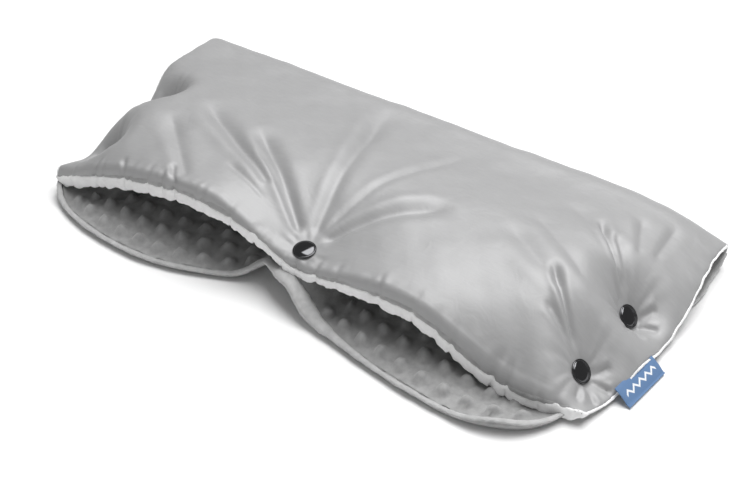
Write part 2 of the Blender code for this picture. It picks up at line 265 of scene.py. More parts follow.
def upper_height(x, y, a):
    """Outer height of the upper half: a crest that falls to the front roll, the back roll and
    the ends, drawn in at each press stud."""
    seam_y, seam_z = upper_seam_y(x), upper_seam_z(x)
    brow = seam_z + brow_height(x)
    rise = np.sin(np.pi / 2 * np.clip((y - seam_y) / (CREST_Y - seam_y), 0, 1) ** 0.8)
    core = mix(CREST_Z, ROLL_Z, smooth((y - CREST_Y) / (ROLL_Y - CREST_Y)))
    middle = mix(brow, core, rise)
    inward = (1 - np.abs(a)) * half_width(a, y)
    slope = np.where(a < 0, LEFT_SLOPE, RIGHT_SLOPE)
    end = np.sin(np.pi / 2 * np.clip(inward / slope, 0, 1) ** np.where(a < 0, 0.70, 0.80))
    z = mix(end_height(x, y), middle, end)
    for stud in STUDS:
        z = stud.draw(x, y, z, FACE, stud.pinch)
    turned = 1 - np.clip((y - seam_y) / STRIP_DEPTH, 0, 1)
    return mix(seam_z, z, np.sqrt(1 - turned**2))


def lower_height(x, y, a):
    """Outer height of the lower half: on the floor, and drawn up at each press stud."""
    from_lip = y - lower_lip_y(x)
    z = lower_lip_z(x) * (1 - smooth(from_lip / 0.040))
    z = z + 0.0020 * (1 - smooth((1 - np.abs(a)) * NOMINAL_REACH / 0.012))
    for stud in STUDS:
        z = stud.draw(x, y, z, -FACE, 0.042 if stud.name == "centre" else 0.030)
    return np.maximum(z, 0.0)


def roll_rise(a, side):
    """x where the back roll starts, and the roll's height from the fold, above or below it."""
    y = np.full_like(a, ROLL_Y)
    x = a * half_width(a, y)
    if side > 0:
        return x, upper_height(x, y, a) - FOLD_Z
    return x, FOLD_Z - lower_height(x, y, a)


def roll_point(a, turn, side):
    """A point of the back roll. turn is 0 at its top or bottom, and pi / 2 at the fold."""
    x, rise = roll_rise(a, side)
    out_y = ROLL_Y + (FOLD_Y - ROLL_Y) * np.sin(turn)
    return np.stack([x, out_y, FOLD_Z + side * rise * np.cos(turn)], -1)


def turn_at(a, z, side):
    """The turn at which the roll passes this height."""
    _, rise = roll_rise(a, side)
    return np.arccos(np.clip(np.abs(z - FOLD_Z) / rise, 0, 1))


COLUMNS = 296
ROWS = {"lip": 8, "lower": 84, "lower_roll": 14, "strip": 3, "roll": 20, "upper": 124, "front": 16}


def seam_row(a, edge, across=lambda a, y: a * half_width(a, y)):
    """Where one half's front edge lies for each column."""
    x = a * NOMINAL_REACH
    for _ in range(4):
        y = edge(x)
        x = across(a, y)
    return x, y


def panel():
    """The whole panel's outer face before its creases, as rows from the lower lip, round the
    fold, to the upper seam, and which rows belong to which piece."""
    even = np.linspace(-1, 1, COLUMNS + 1)
    a = 0.62 * even + 0.38 * np.sin(np.pi / 2 * even)
    rows = []
    lip_x, lip_y = seam_row(a, lower_lip_y, lower_x)
    curl = lip_curl(lip_x)
    inner_y = lip_y + curl
    x = lower_x(a, inner_y)
    floor_z = lower_height(x, inner_y, a)
    for turn in np.linspace(CURL_TURN, 0, ROWS["lip"] + 1)[:-1]:
        y, z = inner_y - curl * math.sin(turn), floor_z + curl * (1 - math.cos(turn))
        rows.append(np.stack([x, y, z], -1))
    for t in np.linspace(0, 1, ROWS["lower"] + 1):
        y = mix(inner_y, ROLL_Y, t)
        x = lower_x(a, y)
        rows.append(np.stack([x, y, lower_height(x, y, a)], -1))
    low_end = turn_at(a, STRIP_Z[0], -1)
    for t in np.linspace(0, 1, ROWS["lower_roll"] + 1)[1:]:
        rows.append(roll_point(a, low_end * t, -1))
    lower_last = len(rows) - 1
    for t in np.linspace(0, 1, ROWS["strip"] + 1)[1:]:
        rows.append(roll_point(a, mix(low_end, np.pi / 2, t), -1))
    high_start = turn_at(a, STRIP_Z[1], 1)
    for t in np.linspace(0, 1, ROWS["strip"] + 1)[1:]:
        rows.append(roll_point(a, mix(np.pi / 2, high_start, t), 1))
    strip_last = len(rows) - 1
    for t in np.linspace(0, 1, ROWS["roll"] + 1)[1:]:
        rows.append(roll_point(a, mix(high_start, 0.0, t), 1))
    _, seam_y = seam_row(a, upper_seam_y)
    for t in np.linspace(1, 0, ROWS["upper"] + 1)[1:]:
        y = mix(seam_y + STRIP_DEPTH, ROLL_Y, t)
        x = a * half_width(a, y)
        rows.append(np.stack([x, y, upper_height(x, y, a)], -1))
    swell = 0.0016 * smooth((1 - np.abs(a)) * NOMINAL_REACH / 0.03)
    for turn in np.linspace(np.pi / 2, 0, ROWS["front"] + 1)[1:]:
        y = seam_y + STRIP_DEPTH * (1 - math.cos(turn))
        x = a * half_width(a, y)
        z = upper_height(x, y, a)
        rows.append(np.stack([x, y - swell * math.sin(2 * turn), z], -1))
    spans = {
        "lower": slice(0, lower_last + 1),
        "fold": slice(lower_last, strip_last + 1),
        "upper": slice(strip_last, len(rows)),
    }
    return a, np.stack(rows), spans


def outward(points):
    """Unit normals of a grid of points, away from the muff's inside."""
    along = np.gradient(points, axis=1)
    across = np.gradient(points, axis=0)
    normal = -np.cross(along, across)
    return normal / np.maximum(np.linalg.norm(normal, axis=-1, keepdims=True), 1e-12)


# ---------------------------------------------------------------- creases of the upper cover


class Fold:
    """A fold in the cloth that runs straight or in a bend away from an origin.

    direction is in degrees in plan from +X towards +Y. near and far are where it starts and ends,
    bend how far its far end swings to its left, depth and width its size, all in mm. It is narrow
    at its near end and broad at its far end. crisp raises the cloth beside it.
    """

    def __init__(self, origin, direction, near, far, depth, width, bend=0, crisp=0.3):
        self.origin = origin
        turn = math.radians(direction)
        self.run = (math.cos(turn), math.sin(turn))
        self.near, self.far, self.depth, self.width = near, far, depth, width
        self.bend, self.crisp = bend, crisp

    def rise(self, x, y):
        off_x, off_y = (x - self.origin[0]) * 1000, (y - self.origin[1]) * 1000
        along = off_x * self.run[0] + off_y * self.run[1]
        share = np.clip((along - self.near) / (self.far - self.near), 0, 1)
        across = off_y * self.run[0] - off_x * self.run[1] - self.bend * (along / self.far) ** 2
        q = across / np.maximum(self.width * mix(0.45, 1.0, share), 2.2)
        lead = smooth((along - self.near) / 8)
        fade = 1 - smooth((along - mix(self.near, self.far, 0.72)) / (0.28 * (self.far - self.near)))
        valley = -np.exp(-np.abs(q) ** 1.4)
        ridges = self.crisp * (1.2 * np.exp(-((q - 1.5) ** 2)) + 0.3 * np.exp(-((q + 1.6) ** 2)))
        return self.depth / 1000 * mix(0.5, 1.0, share) * lead * fade * (valley + ridges)


# where the folds gather: the centre cap, and the two right caps on their slope
CENTRE, RIGHT_BACK, RIGHT_FRONT = (0.0, -0.089), (0.2300, BACK_STUD_Y), (0.2300, FRONT_STUD_Y)

FOLDS = (
    # the fan behind the centre stud, from left to right
    Fold(CENTRE, 165, 50, 105, 2.0, 4),
    Fold(CENTRE, 155, 60, 195, 6.8, 10, bend=-8, crisp=0.4),
    Fold(CENTRE, 148, 14, 115, 1.8, 3),
    Fold(CENTRE, 143, 14, 140, 7.4, 9, crisp=0.4),
    Fold(CENTRE, 105, 125, 200, 2.0, 14),
    Fold(CENTRE, 100, 12, 185, 5.0, 10, bend=20, crisp=0.35),
    Fold(CENTRE, 75, 12, 175, 2.2, 6),
    Fold(CENTRE, 50, 12, 120, 7.4, 10, bend=-12, crisp=0.35),
    # the tuck in front of it
    Fold(CENTRE, -88, 9, 26, 4.5, 3.2, crisp=0.5),
    # soft folds rising from the left of the front seam
    Fold((-0.110, -0.098), 138, 5, 105, 4.0, 9),
    Fold((-0.116, -0.108), 130, 2, 32, 4.0, 3.2),
    Fold((-0.170, -0.110), 125, 2, 24, 2.5, 2.8),
    # long soft troughs towards the right studs
    Fold(RIGHT_FRONT, 148, 42, 128, 3.4, 12),
    Fold((0.228, -0.038), 146, 28, 120, 3.2, 11),
    Fold(RIGHT_BACK, 146, 22, 105, 2.6, 10),
    # folds that the right studs draw
    Fold(RIGHT_BACK, 148, 10, 76, 6.0, 4.6, bend=-14, crisp=0.5),
    Fold(RIGHT_BACK, 132, 12, 58, 4.2, 5),
    Fold(RIGHT_BACK, 112, 36, 88, 2.6, 6),
    Fold(RIGHT_BACK, 95, 42, 98, 2.8, 6),
    Fold(RIGHT_FRONT, 150, 10, 70, 6.0, 4.6, bend=-12, crisp=0.5),
    Fold(RIGHT_FRONT, 165, 12, 44, 2.8, 4),
)
for stud_place in (RIGHT_BACK, RIGHT_FRONT):
    for direction in (55, 15, -35, -70):
        FOLDS += (Fold(stud_place, direction, 8, 24, 2.4, 2.8, crisp=0.5),)

TUCK_PITCH = 0.0215  # between the tucks that the front seam's thread draws


def gathers(x, y, a):
    """The small puckers that the thread draws along the front seam and the right end."""
    from_seam = np.maximum(y - upper_seam_y(x), 0)
    near = np.exp(-((np.maximum(from_seam - 0.003, 0) / 0.006) ** 2))
    rise = 0.00035 * near * ripple(x, 0.4 * from_seam, 0.012, 3)
    for number in range(-11, 11):
        jitter = math.sin(number * 2.39996 + 1)
        place = number * TUCK_PITCH + 0.0065 * jitter
        depth, width = 0.0010 + 0.0005 * math.sin(number * 1.7), 0.0024 + 0.0005 * jitter
        q = (x - place - 0.25 * jitter * from_seam) / width
        rise = rise - depth * near * (np.exp(-(q**2)) - 0.35 * np.exp(-((q - 1.9) ** 2)))
    inward = (1 - np.abs(a)) * half_width(a, y)
    near_end = np.exp(-((inward / 0.009) ** 2))
    return rise + mix(0.0002, 0.0007, x > 0) * near_end * ripple(0 * x, y, 0.017, 5)


def pleats(x, y):
    """Fine folds that spread out from each press stud."""
    total = 0 * x
    for number, stud in enumerate(STUDS):
        centre = stud.middle + stud.axis * FACE
        off_x, off_y = (x - centre[0]) * abs(stud.axis[2]) ** -1, y - centre[1]
        away = np.hypot(off_x, off_y)
        angle = np.arctan2(off_y, off_x)
        wave = np.sin(11 * angle + number) + 0.7 * np.sin(17 * angle + 2.1 * number + 1)
        near = smooth((away - 0.008) / 0.006) * np.exp(-np.maximum(away - 0.014, 0) / 0.013)
        total = total + 0.00042 * wave * near
    return total


def creased(points, a):
    """How far the upper cover stands out from its smooth shape at each point."""
    x, y = points[..., 0], points[..., 1]
    total = 0.0006 * ripple(x, y, 0.070, 1) + 0.00025 * ripple(x, y, 0.028, 4)
    for fold in FOLDS:
        total = total + fold.rise(x, y)
    for stud in STUDS:
        total = total * mix(0.12, 1.0, stud.clear(x, y, FACE, 0.0065, 0.0125))
    return total + gathers(x, y, a) + pleats(x, y)


# ---------------------------------------------------------------- mesh helpers


def finish_piece(name, builder, material, smooth_angle=60):
    """A piece from a bmesh, at the origin, facing out and shaded smooth."""
    mesh = bpy.data.meshes.new(name)
    builder.to_mesh(mesh)
    builder.free()
    mesh.materials.append(material)
    obj = bpy.data.objects.new(name, mesh)
    bpy.context.scene.collection.objects.link(obj)
    mesh.shade_smooth()
    mesh.set_sharp_from_angle(angle=math.radians(smooth_angle))
    return obj


def grid_piece(name, points, uv, material, thickness, flip=False):
    """A piece whose grid of vertices is laid on these points, with a UV map in metres."""
    rows, columns = points.shape[:2]
    builder = bmesh.new()
    bmesh.ops.create_grid(
        builder, x_segments=columns - 1, y_segments=rows - 1, size=1.0, calc_uvs=True
    )
    layer = builder.loops.layers.uv.verify()
    places = {}
    for vert in builder.verts:
        column = round((vert.co.x + 1) / 2 * (columns - 1))
        row = round((vert.co.y + 1) / 2 * (rows - 1))
        places[vert] = (row, column)
        vert.co = points[row, column]
    for face in builder.faces:
        for loop in face.loops:
            loop[layer].uv = uv[places[loop.vert]]
    if flip:
        bmesh.ops.reverse_faces(builder, faces=builder.faces[:])
    obj = finish_piece(name, builder, material)
    wall = obj.modifiers.new("cloth_thickness", "SOLIDIFY")
    wall.thickness = thickness
    wall.offset = -1.0
    return obj


def flat_lengths(points):
    """UV places in metres: along the muff, and the length of cloth from the lower lip."""
    steps = np.linalg.norm(np.diff(points, axis=0), axis=-1)
    run = np.vstack([np.zeros((1, points.shape[1])), np.cumsum(steps, axis=0)])
    run = np.broadcast_to(run.mean(axis=1, keepdims=True), points.shape[:2])
    return np.stack([points[..., 0], run], -1)


# ---------------------------------------------------------------- material helpers


def new_material(name):
    """A new material, with its node tree and its Principled shader."""
    material = bpy.data.materials.new(name)
    material.use_nodes = True
    tree = material.node_tree
    return material, tree, tree.nodes["Principled BSDF"]


def node(tree, kind, **settings):
    """A new node with these settings."""
    made = tree.nodes.new(kind)
    for key, value in settings.items():
        setattr(made, key, value)
    return made


def math_node(tree, operation, first, second=None):
    """A Math node fed by sockets or numbers. Returns its output."""
    made = node(tree, "ShaderNodeMath", operation=operation)
    for socket, value in zip(made.inputs, (first, second)):
        if value is None:
            continue
        if isinstance(value, (int, float)):
            socket.default_value = value
        else:
            tree.links.new(value, socket)
    return made.outputs[0]


def new_group(name, inputs, outputs):
    """An empty shader node group with float inputs {name: default} and outputs {name: kind}."""
    group = bpy.data.node_groups.new(name, "ShaderNodeTree")
    for label, default in inputs.items():
        kind = "NodeSocketVector" if default is None else "NodeSocketFloat"
        socket = group.interface.new_socket(label, in_out="INPUT", socket_type=kind)
        if default is not None:
            socket.default_value = default
    for label, kind in outputs.items():
        group.interface.new_socket(label, in_out="OUTPUT", socket_type=kind)
    return group, group.nodes.new("NodeGroupInput"), group.nodes.new("NodeGroupOutput")


def place_group(tree, group, **values):
    """A node group placed in a material, with its inputs set or linked."""
    made = tree.nodes.new("ShaderNodeGroup")
    made.node_tree = group
    for label, value in values.items():
        socket = made.inputs[label]
        if isinstance(value, (int, float)):
            socket.default_value = value
        else:
            tree.links.new(value, socket)
    return made


def plain_weave_group():
    """Over-and-under threads on a UV map in metres. Height is the cloth's relief, and Shade a
    faint unevenness between threads."""
    group, given, result = new_group(
        "plain_weave",
        {"UV": None, "Threads_per_m": 2400.0},
        {"Height": "NodeSocketFloat", "Shade": "NodeSocketFloat"},
    )
    split = node(group, "ShaderNodeSeparateXYZ")
    group.links.new(given.outputs["UV"], split.inputs[0])
    waves = []
    for axis in (0, 1):
        turns = math_node(group, "MULTIPLY", split.outputs[axis], given.outputs["Threads_per_m"])
        angle = math_node(group, "MULTIPLY", turns, math.pi)
        waves.append((math_node(group, "SINE", angle), turns))
    crossing = math_node(group, "MULTIPLY", waves[0][0], waves[1][0])
    group.links.new(crossing, result.inputs["Height"])
    slub = node(group, "ShaderNodeTexNoise", noise_dimensions="2D")
    slub.inputs["Scale"].default_value = 90.0
    slub.inputs["Detail"].default_value = 4.0
    stretch = node(group, "ShaderNodeVectorMath", operation="MULTIPLY")
    stretch.inputs[1].default_value = (1.0, 9.0, 1.0)
    group.links.new(given.outputs["UV"], stretch.inputs[0])
    group.links.new(stretch.outputs[0], slub.inputs["Vector"])
    group.links.new(slub.outputs[0], result.inputs["Shade"])
    return group


def plush_pile_group():
    """Short brushed pile: fine tufts and broader lay of the fibres."""
    group, given, result = new_group(
        "plush_pile",
        {"Place": None, "Tufts": 1500.0},
        {"Height": "NodeSocketFloat", "Shade": "NodeSocketFloat"},
    )
    tuft = node(group, "ShaderNodeTexNoise")
    tuft.inputs["Detail"].default_value = 3.0
    group.links.new(given.outputs["Place"], tuft.inputs["Vector"])
    group.links.new(given.outputs["Tufts"], tuft.inputs["Scale"])
    lay = node(group, "ShaderNodeTexNoise")
    lay.inputs["Scale"].default_value = 160.0
    lay.inputs["Detail"].default_value = 3.0
    group.links.new(given.outputs["Place"], lay.inputs["Vector"])
    total = math_node(group, "ADD", tuft.outputs[0], lay.outputs[0])
    group.links.new(total, result.inputs["Height"])
    group.links.new(lay.outputs[0], result.inputs["Shade"])
    return group


def handling_marks_group():
    """Hair-fine rubbing on plated metal, as a change of roughness."""
    group, given, result = new_group(
        "handling_marks", {"Place": None}, {"Roughness_change": "NodeSocketFloat"}
    )
    stretch = node(group, "ShaderNodeVectorMath", operation="MULTIPLY")
    stretch.inputs[1].default_value = (900.0, 2600.0, 900.0)
    group.links.new(given.outputs["Place"], stretch.inputs[0])
    rub = node(group, "ShaderNodeTexNoise")
    rub.inputs["Scale"].default_value = 1.0
    rub.inputs["Detail"].default_value = 5.0
    group.links.new(stretch.outputs[0], rub.inputs["Vector"])
    group.links.new(rub.outputs[0], result.inputs["Roughness_change"])
    return group


def shade_between(tree, factor, dark, light):
    """A colour from dark to light, as the factor says."""
    ramp = node(tree, "ShaderNodeValToRGB")
    ramp.color_ramp.elements[0].color = (*dark, 1)
    ramp.color_ramp.elements[1].color = (*light, 1)
    ramp.color_ramp.elements[0].position = 0.3
    ramp.color_ramp.elements[1].position = 0.7
    tree.links.new(factor, ramp.inputs[0])
    return ramp.outputs[0]


def bump_from(tree, shader, height, strength, distance):
    """A Bump node that feeds the shader's Normal."""
    bump = node(tree, "ShaderNodeBump")
    bump.inputs["Strength"].default_value = strength
    bump.inputs["Distance"].default_value = distance
    tree.links.new(height, bump.inputs["Height"])
    tree.links.new(bump.outputs[0], shader.inputs["Normal"])


def make_satin(weave):
    """Silver-grey satin with a fine weave and a slight crumple."""
    material, tree, shader = new_material("silver_satin")
    uv = node(tree, "ShaderNodeUVMap")
    threads = place_group(tree, weave, UV=uv.outputs[0], Threads_per_m=2100.0)
    colour = shade_between(
        tree, threads.outputs["Shade"], (0.355, 0.355, 0.358), (0.375, 0.375, 0.378)
    )
    tree.links.new(colour, shader.inputs["Base Color"])
    shader.inputs["Metallic"].default_value = 0.25
    rough = node(tree, "ShaderNodeMapRange")
    rough.inputs["To Min"].default_value = 0.50
    rough.inputs["To Max"].default_value = 0.58
    tree.links.new(threads.outputs["Shade"], rough.inputs["Value"])
    tree.links.new(rough.outputs[0], shader.inputs["Roughness"])
    crumple = node(tree, "ShaderNodeTexNoise", noise_dimensions="2D")
    crumple.inputs["Scale"].default_value = 70.0
    crumple.inputs["Detail"].default_value = 6.0
    crumple.inputs["Distortion"].default_value = 0.8
    tree.links.new(uv.outputs[0], crumple.inputs["Vector"])
    soft = math_node(tree, "MULTIPLY", crumple.outputs[0], 9.0)
    relief = math_node(tree, "ADD", threads.outputs["Height"], soft)
    bump_from(tree, shader, relief, 0.45, 0.00007)
    return material


def make_plush(name, pile, dark, light):
    """Brushed plush between two greys."""
    material, tree, shader = new_material(name)
    place = node(tree, "ShaderNodeTexCoord")
    tufts = place_group(tree, pile, Place=place.outputs["Object"], Tufts=1300.0)
    colour = shade_between(tree, tufts.outputs["Shade"], dark, light)
    tree.links.new(colour, shader.inputs["Base Color"])
    shader.inputs["Roughness"].default_value = 0.95
    shader.inputs["Sheen Weight"].default_value = 0.5
    shader.inputs["Sheen Roughness"].default_value = 0.5
    bump_from(tree, shader, tufts.outputs["Height"], 0.6, 0.0005)
    return material


def make_metal(marks):
    """Polished nickel with hair-fine rubbing, its colour darkened to a painted dark reflection."""
    material, tree, shader = new_material("polished_nickel")
    place = node(tree, "ShaderNodeTexCoord")
    rub = place_group(tree, marks, Place=place.outputs["Object"])
    rough = node(tree, "ShaderNodeMapRange")
    rough.inputs["To Min"].default_value = 0.05
    rough.inputs["To Max"].default_value = 0.13
    tree.links.new(rub.outputs[0], rough.inputs["Value"])
    tree.links.new(rough.outputs[0], shader.inputs["Roughness"])
    # painted dark reflection: a very dark base colour so the polished caps look black, standing in
    # for the dark surroundings they reflect
    shader.inputs["Base Color"].default_value = (0.09, 0.09, 0.094, 1)
    shader.inputs["Metallic"].default_value = 1.0
    return material


def make_ribbon(weave):
    """Blue woven ribbon with a white zigzag and edge lines."""
    material, tree, shader = new_material("blue_ribbon")
    uv = node(tree, "ShaderNodeUVMap")
    threads = place_group(tree, weave, UV=uv.outputs[0], Threads_per_m=2600.0)
    split = node(tree, "ShaderNodeSeparateXYZ")
    tree.links.new(uv.outputs[0], split.inputs[0])
    out, along = split.outputs[0], split.outputs[1]
    wave = math_node(tree, "PINGPONG", along, 0.0040)
    target = math_node(tree, "ADD", wave, 0.0072)
    off = math_node(tree, "ABSOLUTE", math_node(tree, "SUBTRACT", out, target))
    zigzag = math_node(tree, "LESS_THAN", off, 0.0011)
    inner = math_node(
        tree,
        "LESS_THAN",
        math_node(tree, "ABSOLUTE", math_node(tree, "SUBTRACT", along, 0.024)),
        0.0190,
    )
    motif = math_node(tree, "MULTIPLY", zigzag, inner)
    blend = node(tree, "ShaderNodeMix", data_type="RGBA")
    blend.inputs["A"].default_value = (0.095, 0.190, 0.365, 1)
    blend.inputs["B"].default_value = (0.80, 0.82, 0.85, 1)
    tree.links.new(motif, blend.inputs["Factor"])
    tree.links.new(blend.outputs["Result"], shader.inputs["Base Color"])
    shader.inputs["Roughness"].default_value = 0.62
    shader.inputs["Sheen Weight"].default_value = 0.2
    relief = math_node(tree, "ADD", threads.outputs["Height"], math_node(tree, "MULTIPLY", motif, 2))
    bump_from(tree, shader, relief, 0.5, 0.0001)
    return material


# ---------------------------------------------------------------- cloth pieces


def sandwich(points, a, y_lip):
    """Whole thickness at each point: thin where sewn or clamped, full elsewhere."""
    x, y = points[..., 0], points[..., 1]
    corner = smooth((x - 0.135) / 0.05) * smooth((-0.055 - y) / 0.03)
    inward = np.minimum((1 - np.abs(a)) * NOMINAL_REACH, y - y_lip)
    value = mix(SEWN, PADDED, smooth(inward / 0.040) * (1 - corner))
    for stud in STUDS:
        value = mix(CLAMPED, value, stud.clear(x, y, 0.0, 0.012, 0.045))
    return value


def dots(x, run, a):
    """The lining's raised dots, in staggered rows."""
    row = np.round(run / DOT_ROW_PITCH)
    shift = np.where(row % 2 == 0, 0.0, 0.5) * DOT_PITCH
    near_x = np.round((x - shift) / DOT_PITCH) * DOT_PITCH + shift
    away = np.hypot(x - near_x, run - row * DOT_ROW_PITCH)
    rise = 1 - np.clip(away / DOT_RADIUS, 0, 1) ** 2
    return DOT_HEIGHT * rise**0.7 * smooth((0.93 - np.abs(a)) / 0.05)


def lining_face(base, normals, a, uv, spans):
    """The plush face of the whole panel."""
    x, y = base[..., 0], base[..., 1]
    grid_a = np.broadcast_to(a, x.shape)
    rows = np.arange(base.shape[0])[:, None]
    lip = np.where(rows < spans["lower"].stop, lower_lip_y(x), upper_seam_y(x))
    thick = sandwich(base, grid_a, lip)
    from_edge = np.where(rows < spans["lower"].stop, rows / ROWS["lip"], (len(rows) - 1 - rows) / 10)
    thick = mix(0.0018, thick, smooth(from_edge))
    bumps = dots(x, uv[..., 1], grid_a)
    bumps = bumps * smooth(from_edge - 0.4)
    for stud in STUDS:
        bumps = bumps * stud.clear(x, y, 0.0, 0.016, 0.030)
    uneven = 0.0006 * ripple(x, y, 0.05, 6)
    return base - normals * (thick - LINING_THICK + bumps + uneven)[..., None]


def edge_path(points, span):
    """The edge of one half's cover: up the left end, along the lip, and back down the right."""
    part = points[span]
    if span.start == 0:
        part = part[::-1]
    left, lip, right = part[:, 0], part[-1], part[::-1, -1]
    return np.vstack([left[:-1], lip, right[1:]])


def along_path(path):
    """The length of the path up to each of its points."""
    steps = np.linalg.norm(np.diff(path, axis=0), axis=-1)
    return np.concatenate([[0.0], np.cumsum(steps)])


def respace(path, spacing):
    """The path again, with its points evenly spaced, and how far along it each one lies."""
    run = along_path(path)
    wanted = np.linspace(0, run[-1], int(run[-1] / spacing) + 1)
    return np.stack([np.interp(wanted, run, path[:, i]) for i in range(3)], -1), wanted


def plush_edge(name, points, span, material, drop, size):
    """The lining rolled out past the cover along one half's open edge.

    size gives (half height, half depth) along the path, and drop how far its middle hangs below
    the cover's edge, from where the path lies.
    """
    path, run = respace(edge_path(points, span), 0.0013)
    tangent = np.gradient(path, axis=0)
    tangent /= np.linalg.norm(tangent, axis=-1, keepdims=True)
    out = np.cross(tangent, [0.0, 0.0, 1.0])
    out /= np.maximum(np.linalg.norm(out, axis=-1, keepdims=True), 1e-9)
    up = np.cross(out, tangent)
    tall, deep = size(path, run)
    down = drop(path, run)
    scallop = 0.0012 * np.maximum(np.cos(2 * np.pi * run / DOT_PITCH + ripple(run, 0, 0.09, 1)), -0.4)
    scallop = scallop * (0.75 + 0.5 * ripple(run, 0 * run, 0.11, 2)) * np.clip(tall / 0.004, 0, 1)
    uneven = 1 + 0.10 * ripple(run, 0 * run, 0.031, 4) + 0.05 * ripple(run, 0 * run, 0.011, 7)
    tall, deep = tall * uneven, deep * uneven
    around = 18
    rings = []
    for step in range(around):
        angle = 2 * math.pi * step / around
        high, wide = math.cos(angle), math.sin(angle)
        fuzz = 0.00030 * ripple(run + step * 0.0131, step * 0.004 + 0 * run, 0.0040, step)
        reach_up = high * tall + down
        if high < 0:
            reach_up = reach_up - scallop * (-high)
        ring = path + up * (reach_up)[:, None] + out * (wide * deep + fuzz)[:, None]
        ring = ring + up * (fuzz * high)[:, None]
        rings.append(ring)
    rings.append(rings[0])
    grid = np.stack(rings, 1)
    grid[..., 2] = np.maximum(grid[..., 2], 0.0)
    builder = bmesh.new()
    rows, columns = grid.shape[:2]
    bmesh.ops.create_grid(builder, x_segments=columns - 1, y_segments=rows - 1, size=1.0)
    for vert in builder.verts:
        column = round((vert.co.x + 1) / 2 * (columns - 1))
        row = round((vert.co.y + 1) / 2 * (rows - 1))
        vert.co = grid[row, column]
    bmesh.ops.remove_doubles(builder, verts=builder.verts[:], dist=1e-6)
    open_edges = [edge for edge in builder.edges if edge.is_boundary]
    bmesh.ops.holes_fill(builder, edges=open_edges, sides=0)
    bmesh.ops.recalc_face_normals(builder, faces=builder.faces[:])
    return finish_piece(name, builder, material, 80)


# ---------------------------------------------------------------- press studs


def turned_piece(name, stud, profile, material, steps=56):
    """A closed turned piece on a press stud's axis, from (radius, height) points."""
    axis = Vector(stud.axis)
    centre = Vector(stud.middle)
    side = axis.orthogonal().normalized()
    builder = bmesh.new()
    verts = [builder.verts.new(centre + axis * high + side * radius) for radius, high in profile]
    edges = [builder.edges.new(pair) for pair in zip(verts, verts[1:])]
    if profile[0][0] > 0:
        edges.append(builder.edges.new((verts[-1], verts[0])))
    bmesh.ops.spin(
        builder,
        geom=verts + edges,
        cent=centre,
        axis=axis,
        angle=2 * math.pi,
        steps=steps,
        use_merge=True,
    )
    bmesh.ops.remove_doubles(builder, verts=builder.verts[:], dist=1e-6)
    bmesh.ops.recalc_face_normals(builder, faces=builder.faces[:])
    return finish_piece(name, builder, material, 35)


def arc(centre_r, centre_h, radius_r, radius_h, start, end, count):
    """Profile points on part of an ellipse, by degrees from straight up, clockwise."""
    return [
        (centre_r + radius_r * math.sin(t), centre_h + radius_h * math.cos(t))
        for t in np.radians(np.linspace(start, end, count))
    ]


def cap_profile():
    """A domed cap with a rolled rim and its post."""
    base = FACE + 0.0004
    dome = arc(0, base + 0.0012, CAP_RADIUS - 0.0008, 0.0018, 0, 72, 9)
    rim = arc(CAP_RADIUS - 0.0008, base + 0.0008, 0.0008, 0.0008, -20, 180, 8)
    return dome + rim + [(0.0016, base), (0.0016, LINING_FACE - 0.0012), (0, LINING_FACE - 0.0012)]


def socket_profile():
    """A shallow cup, open downwards, that the knob snaps into."""
    roof, mouth = LINING_FACE - 0.0004, -LINING_FACE + 0.0014
    return (
        [(0.0020, roof), (0.0057, roof)]
        + arc(0.0057, roof - 0.0005, 0.0005, 0.0005, 0, 90, 4)
        + [(0.0056, mouth + 0.0002), (0.0052, mouth), (0.0037, mouth), (0.0034, mouth + 0.0003)]
        + [(0.0036, roof - 0.0006), (0.0020, roof - 0.0006)]
    )


def knob_profile():
    """A knob with a narrow neck on a flat flange."""
    flange, head = -LINING_FACE + 0.0004, LINING_FACE - 0.0014
    return (
        [(0.0020, head - 0.0004)]
        + arc(0.0024, head - 0.0006, 0.0006, 0.0006, -40, 110, 7)
        + [(0.0024, head - 0.0014), (0.0026, flange + 0.0006), (0.0058, flange + 0.0006)]
        + arc(0.0060, flange + 0.0003, 0.0003, 0.0003, 20, 180, 5)
        + [(0.0020, flange)]
    )


def back_profile():
    """A flat flange under the lower cover, with its tube."""
    base = -FACE - 0.0004
    return (
        [(0, -LINING_FACE + 0.0009), (0.0016, -LINING_FACE + 0.0009), (0.0016, base)]
        + arc(0.0056, base - 0.0005, 0.0006, 0.0005, 0, 180, 7)
        + arc(0, base - 0.0007, 0.0034, 0.0003, 90, 0, 4)
    )


STUD_PIECES = (
    ("cap", "snap_cap", cap_profile, "upper_half"),
    ("socket", "snap_socket", socket_profile, "upper_half"),
    ("knob", "snap_stud", knob_profile, "lower_half"),
    ("back", "snap_back", back_profile, "lower_half"),
)

# ---------------------------------------------------------------- label


def make_label(edge, material):
    """The folded ribbon that hangs from the right end's seam."""
    length, reach, droop, turn = 0.048, 0.0190, math.radians(34), math.radians(-5)
    root = Vector(edge)
    rows, columns = 9, 21
    points = np.zeros((rows, columns, 3))
    uv = np.zeros((rows, columns, 2))
    for row in range(rows):
        for column in range(columns):
            out = reach * row / (rows - 1)
            along = length * (column / (columns - 1) - 0.5)
            lean = droop * (0.75 + 0.45 * row / (rows - 1))
            wave = 0.0006 * math.sin(along * 90 + 0.6) * row / (rows - 1)
            x = out * math.cos(lean) - 0.0020
            z = -out * math.sin(lean) + wave
            points[row, column] = (
                root.x + x * math.cos(turn) - along * math.sin(turn),
                root.y + x * math.sin(turn) + along * math.cos(turn),
                max(root.z + z, 0.0022),
            )
            uv[row, column] = (out, along + length / 2)
    piece = grid_piece("woven_label", points, uv, material, 0.0009, flip=True)
    soften = piece.modifiers.new("folded_edge", "BEVEL")
    soften.width = 0.0003
    soften.segments = 2
    soften.limit_method = "ANGLE"
    return piece


# ---------------------------------------------------------------- putting it together


